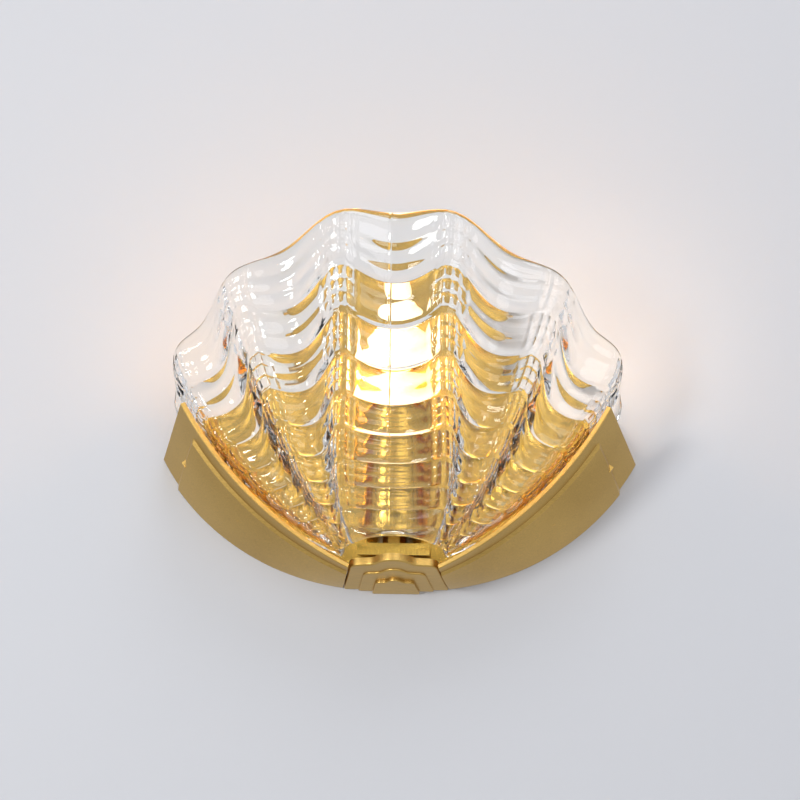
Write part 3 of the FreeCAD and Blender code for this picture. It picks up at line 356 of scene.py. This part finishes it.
def glass_normal(share, angle):
    """The unit vector out of the smooth shell."""
    step, turn, near_edge = 0.003, 0.2, 80
    along = glass_base(min(share + step, 1), angle) - glass_base(max(share - step, 0), angle)
    across = glass_base(share, angle + turn) - glass_base(share, angle - turn)
    out = unit(across.cross(along))
    return out if out.y < 0 or abs(angle) > near_edge and out.x * angle > 0 else -out


def ridge_angles(share):
    """Both edges and the six ridges between them, in degrees from the crown: they crowd at the foot."""
    fan = (1 - share) ** 3
    angles = [rim + (foot - rim) * fan for rim, foot in RIDGES]
    return [-90] + [-angle for angle in reversed(angles)] + angles + [90]


def glass_columns():
    """The mesh's columns as (gap between ridges, share of the gap, kind), from left to right."""
    columns = []
    for gap in range(GAPS):
        outer = gap in (0, GAPS - 1)
        width, steps = (OUTER_PRISM_WIDTH, OUTER_STEPS) if outer else (PRISM_WIDTH, FLUTE_STEPS)
        ridge = [(mark * width, "groove") for mark in RIDGE_GROOVES]
        ridge += [(mark * width, "prism") for mark in RIDGE_PRISMS]
        ridge.sort()
        start = ridge[-1][0]
        end = 1 if outer else 1 - start
        part = ridge + [(start + (end - start) * step / steps, "flute") for step in range(1, steps)]
        if outer:
            part.append((1, "flute"))
        else:
            part += [(1 - share, kind) for share, kind in reversed(ridge)]
        if gap == 0:
            part = [(1 - share, kind) for share, kind in reversed(part)]
        if gap == GAPS // 2:
            part += [(side, "flute") for side in SEAM_SIDES] + [(line, "seam") for line in SEAM_LINE]
            part.sort()
        columns += [(gap, *column) for column in (part[1:] if gap else part)]
    return columns


def glass_rows():
    """The mesh's rows as (roll, run within the roll, kind), from foot to rim."""
    rows = []
    marks = [(0, "groove")] + [(mark, "prism") for mark in ROW_PRISM]
    for roll, count in enumerate(PRISM_ROWS):
        rows += [(roll, 0, "crease"), (roll, BARE_BAND / 3, "crease")]
        for index in range(count):
            for mark, kind in marks:
                rows.append((roll, BARE_BAND + (1 - 2 * BARE_BAND) * (index + mark) / count, kind))
        rows += [(roll, 1 - BARE_BAND, "groove"), (roll, 1 - BARE_BAND / 3, "crease")]
    return rows + [(ROLLS - 1, 1.0, "crease")]


def ease(flute):
    """A flute's share rounded off at the ridge, and taken to a quarter wave towards its middle."""
    rounded = (math.hypot(flute, RIDGE_SOFTNESS) - RIDGE_SOFTNESS) / (
        math.hypot(1, RIDGE_SOFTNESS) - RIDGE_SOFTNESS)
    return math.sin(math.pi / 2 * rounded)


def sagging_share(along, hang):
    """Where along the shell a roll lies once it hangs between its two ridges."""
    share = along
    for _ in range(12):
        sag = ROLL_SAG * hang * (FOOT_SAG + (1 - FOOT_SAG) * share) * (1 - share ** RIM_RUN)
        share = 0.5 * share + 0.5 * (along - sag * min(1, along / ROLL_BOUNDS[1]))
    return min(max(share, 0), 1)


def flute_depth(gap, part):
    """How far a column is from its ridge, from 0 on the ridge to 1 in the middle of the flute."""
    if gap in (0, GAPS - 1):
        return min(OUTER_FLUTE * abs((1 - part) if gap == 0 else part), 1)
    return 1 - abs(2 * part - 1)


def rolls_and_ripples(roll, run, hang):
    """The bulge of a roll, and of the lower ripples on it, before both fade at edge and foot."""
    bulge = math.sin(math.pi * run ** ROLL_LEAN) ** ROLL_POWER - ROLL_SEAT
    ripple = abs(math.sin(math.pi * RIPPLES[roll] * run)) ** RIPPLE_POWER - ROLL_SEAT
    return ROLL_BULGE * bulge * (ROLL_ON_RIDGE + (1 - ROLL_ON_RIDGE) * hang) + RIPPLE * ripple * hang


def prisms_and_seam(upright, level, share):
    """How much lower the grooves between prisms lie, and how much higher the mould's seam."""
    faded = min(1, FADE_IN * share) * min(1, (1 - share) / FADE_OUT)
    if upright == "seam":
        return SEAM_RISE * faded
    on_ridge = upright in ("groove", "prism") and level in ("groove", "prism")
    return -PRISM_DEPTH * faded if on_ridge and "groove" in (upright, level) else 0


def glass_point(column, row, inside):
    """A point of the outer or inner face, in metres: ridges, flutes, rolls, prisms and the rim's fall."""
    gap, part, upright = column
    roll, run, level = row
    along = ROLL_BOUNDS[roll] + (ROLL_BOUNDS[roll + 1] - ROLL_BOUNDS[roll]) * run
    flute = flute_depth(gap, part)
    hang = 1 - (1 - max(flute - SAG_START, 0) / (1 - SAG_START)) ** 2
    share = sagging_share(along, hang)
    knots = ridge_angles(share)
    angle = knots[gap] + (knots[gap + 1] - knots[gap]) * part
    at_edge = min(1, (90 - abs(angle)) / EDGE_RUN)
    strength = at_edge * min(1, FOOT_RELIEF + RELIEF_RUN * share)
    fluted = (RIDGE_RISE - (RIDGE_RISE + FLUTE_SINK) * ease(flute)) * strength
    dip = RIM_DIP * math.sin(math.pi / 2 * flute) ** 2
    drop = RIM_DROP * math.sin(math.radians(2 * angle)) ** 2
    fall = Vector((0, 0, (dip + drop) * share ** RIM_RUN))
    rounding = RIM_ROUND * max(0, (share - ROUND_START) / (1 - ROUND_START)) ** 2
    if inside:
        offset = fluted * INNER_RELIEF - THICKNESS + rounding
    else:
        rolled = rolls_and_ripples(roll, run, hang) * at_edge * min(1, ROLL_START + RELIEF_RUN * share)
        offset = fluted + rolled - rounding + prisms_and_seam(upright, level, share)
    return (glass_base(share, angle) - fall + glass_normal(share, angle) * offset) * MM


def glass_face(shape, columns, rows, inside):
    """One face of the glass as a grid, with its vertices by column and row."""
    across, up = len(columns), len(rows)
    made = bmesh.ops.create_grid(shape, x_segments=across - 1, y_segments=up - 1, size=1)["verts"]
    places = {}
    for vertex in made:
        column = round((vertex.co.x + 1) / 2 * (across - 1))
        row = round((vertex.co.y + 1) / 2 * (up - 1))
        places[column, row] = vertex
    for (column, row), vertex in places.items():
        vertex.co = glass_point(columns[column], rows[row], inside)
    return places


def outward(places, column, row, across, up):
    """The direction in which the glass ends at a vertex of its border."""
    step = Vector()
    if column in (0, across - 1):
        step += places[column, row].co - places[1 if column == 0 else across - 2, row].co
    if row in (0, up - 1):
        step += places[column, row].co - places[column, 1 if row == 0 else up - 2].co
    return unit(step)


def pressed_glass():
    """The shade: a prismed, fluted and rolled outer face, a smoother inner one, and a rounded border."""
    shape = bmesh.new()
    columns, rows = glass_columns(), glass_rows()
    across, up = len(columns), len(rows)
    outer = glass_face(shape, columns, rows, False)
    inner = glass_face(shape, columns, rows, True)
    border = [(column, row) for column, row in outer
              if column in (0, across - 1) or row in (0, up - 1)]
    ends = {key: outward(outer, *key, across, up) for key in border}
    ring = {outer[key]: key for key in border}
    start = {key: outer[key].co.copy() for key in border}
    for turn in BORDER_TURNS:
        edges = [edge for edge in shape.edges
                 if edge.is_boundary and edge.verts[0] in ring and edge.verts[1] in ring]
        made = bmesh.ops.extrude_edge_only(shape, edges=edges)["geom"]
        fresh = {}
        for vertex in (item for item in made if isinstance(item, bmesh.types.BMVert)):
            old = next(edge.other_vert(vertex) for edge in vertex.link_edges
                       if edge.other_vert(vertex) in ring)
            fresh[vertex] = ring[old]
        for vertex, key in fresh.items():
            middle = (start[key] + inner[key].co) / 2
            side = start[key] - middle
            swing = math.cos(math.radians(turn)), math.sin(math.radians(turn))
            vertex.co = middle + side * swing[0] + ends[key] * (side.length * BORDER_ROUND * swing[1])
        ring = fresh
    closing = list(ring) + [inner[key] for key in border]
    bmesh.ops.remove_doubles(shape, verts=closing, dist=1e-6)
    bmesh.ops.recalc_face_normals(shape, faces=shape.faces)
    if sum(face.calc_center_median().dot(face.normal) * face.calc_area() for face in shape.faces) < 0:
        bmesh.ops.reverse_faces(shape, faces=shape.faces)
    for face in shape.faces:
        face.smooth = True
    mesh = bpy.data.meshes.new("Pressed_shade")
    shape.to_mesh(mesh)
    shape.free()
    mesh.materials.append(PRESSED_GLASS)
    shade = bpy.data.objects.new("Pressed_shade", mesh)
    bpy.context.scene.collection.objects.link(shade)
    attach(shade, "shade")
    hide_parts("glass_shade")


# ---------------------------------------------------------------- light, backdrop and camera

PALE_PAINT = "cecfd2"
ROOM_SIZE, WALL_GAP = 6.0, 0.0006
# Scattered rays shorter than this, in metres, start at the lamp's own back and pass through the wall
BEHIND_LAMP = 0.045
# Each lamp: its name, place, size, power in watts and colour
STUDIO_LAMPS = (
    ("Key", (-1.25, -1.75, -0.1), 0.5, 20, "ffffff"),
    ("Fill", (0.9, -2.3, 0.2), 1.6, 13, "f6f8ff"),
    ("Overhead", (0.3, -1.1, 1.6), 1.0, 9, "f6f8ff"),
)
LAMP_AIM = Vector((0, 0, -0.04))
BULB_POWER, BULB_RADIUS, BULB_COLOUR = 0.9, 0.019, "ffcc86"
# The sky lights the object less strongly than it shows in metal and glass
SKY_COLOUR, SKY_LIGHT, SKY_SEEN = "f4f5f8", 0.52, 0.9
# The photo's view: degrees below, to the right of and turned about the lamp, distance and lens
BELOW, RIGHT, ROLL, DISTANCE = 16, 2.3, 1.2, 1.3
TARGET, LENS, SENSOR = Vector((0.002, -0.05, -0.04)), 94.35, 36


def backdrop_material(name, colour):
    """Pale paint, seen from its front only, and in the metal's reflections at an even tone.

    From behind, or from the lamp's own back, it isn't there.
    """
    material, tree, output = start_material(name)
    matt = add(tree, "ShaderNodeBsdfDiffuse", {"Color": linear(colour)})
    even = add(tree, "ShaderNodeEmission", {"Color": linear(colour)})
    away = add(tree, "ShaderNodeBsdfTransparent")
    path, face = add(tree, "ShaderNodeLightPath"), add(tree, "ShaderNodeNewGeometry")
    mirrored = add(tree, "ShaderNodeMath", {0: path.outputs["Is Glossy Ray"],
                                            1: path.outputs["Is Transmission Ray"]},
                   operation="SUBTRACT", use_clamp=True)
    paint = add(tree, "ShaderNodeMixShader", {"Fac": mirrored.outputs[0]})
    tree.links.new(matt.outputs[0], paint.inputs[1])
    tree.links.new(even.outputs[0], paint.inputs[2])
    close = add(tree, "ShaderNodeMath", {0: path.outputs["Ray Length"], 1: BEHIND_LAMP},
                operation="LESS_THAN")
    bounced = add(tree, "ShaderNodeMath", {0: close.outputs[0], 1: path.outputs["Is Diffuse Ray"]},
                  operation="MULTIPLY")
    hidden = add(tree, "ShaderNodeMath", {0: bounced.outputs[0], 1: face.outputs["Backfacing"]},
                 operation="MAXIMUM")
    mixed = add(tree, "ShaderNodeMixShader", {"Fac": hidden.outputs[0]})
    tree.links.new(paint.outputs[0], mixed.inputs[1])
    tree.links.new(away.outputs[0], mixed.inputs[2])
    finish_material(tree, output, mixed)
    return material


def backdrop(name, size, place, turn, colour):
    """A large flat sheet of pale paint behind or below the lamp."""
    mesh = bpy.data.meshes.new(name)
    shape = bmesh.new()
    bmesh.ops.create_grid(shape, x_segments=1, y_segments=1, size=size / 2)
    bmesh.ops.transform(shape, matrix=Matrix.Translation(place) @ turn, verts=shape.verts)
    shape.to_mesh(mesh)
    shape.free()
    sheet = bpy.data.objects.new(name, mesh)
    bpy.context.scene.collection.objects.link(sheet)
    mesh.materials.append(backdrop_material(name, colour))


def soft_lamp(name, place, size, power, colour):
    """A soft round studio lamp aimed at the sconce."""
    light = bpy.data.lights.new(name, "AREA")
    light.shape, light.size, light.energy = "DISK", size, power
    light.color = linear(colour)[:3]
    lamp = bpy.data.objects.new(name, light)
    lamp.location = place
    lamp.rotation_euler = (LAMP_AIM - Vector(place)).to_track_quat("-Z", "Y").to_euler()
    bpy.context.scene.collection.objects.link(lamp)


def bulb_light():
    """The warm light of the bulb itself."""
    low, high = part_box("bulb_filaments")
    light = bpy.data.lights.new("Bulb light", "POINT")
    light.energy, light.shadow_soft_size = BULB_POWER, BULB_RADIUS
    light.color = linear(BULB_COLOUR)[:3]
    lamp = bpy.data.objects.new("Bulb light", light)
    lamp.location = (Vector(low) + Vector(high)) / 2
    bpy.context.scene.collection.objects.link(lamp)


def studio():
    """The room: pale wall and floor, three soft lamps, an even sky, and the bulb's own light."""
    upright = Matrix.Rotation(math.radians(90), 4, "X")
    backdrop("Wall", ROOM_SIZE, (0, WALL_GAP, 0), upright, PALE_PAINT)
    backdrop("Floor", ROOM_SIZE, (0, -ROOM_SIZE / 2, -1.6), Matrix.Identity(4), PALE_PAINT)
    for lamp in STUDIO_LAMPS:
        soft_lamp(*lamp)
    bulb_light()
    world = bpy.data.worlds.new("Pale room")
    world.use_nodes = True
    tree = world.node_tree
    tree.nodes.clear()
    path = add(tree, "ShaderNodeLightPath")
    seen = add(tree, "ShaderNodeMath", {0: path.outputs["Is Camera Ray"],
                                        1: path.outputs["Is Transmission Ray"]}, operation="MAXIMUM")
    seen = add(tree, "ShaderNodeMath", {0: seen.outputs[0], 1: path.outputs["Is Glossy Ray"]},
               operation="MAXIMUM")
    strength = spread(tree, seen.outputs[0], SKY_LIGHT, SKY_SEEN)
    sky = add(tree, "ShaderNodeBackground", {"Color": linear(SKY_COLOUR),
                                             "Strength": strength.outputs[0]})
    output = add(tree, "ShaderNodeOutputWorld")
    tree.links.new(sky.outputs[0], output.inputs["Surface"])
    bpy.context.scene.world = world
    bpy.context.scene.view_settings.view_transform = "Standard"


def camera():
    """The photo's view, from below and a little to the right."""
    below, right, roll = math.radians(BELOW), math.radians(RIGHT), math.radians(ROLL)
    back = Vector((math.sin(right) * math.cos(below), -math.cos(right) * math.cos(below),
                   -math.sin(below)))
    data = bpy.data.cameras.new("Camera")
    data.lens, data.sensor_width = LENS, SENSOR
    data.clip_start = 0.05
    seen = bpy.data.objects.new("Camera", data)
    seen.location = TARGET + back * DISTANCE
    turn = (-back).to_track_quat("-Z", "Y").to_matrix() @ Matrix.Rotation(roll, 3, "Z")
    seen.rotation_euler = turn.to_euler()
    bpy.context.scene.collection.objects.link(seen)
    bpy.context.scene.camera = seen


finish_nodes()
pressed_glass()
studio()
camera()
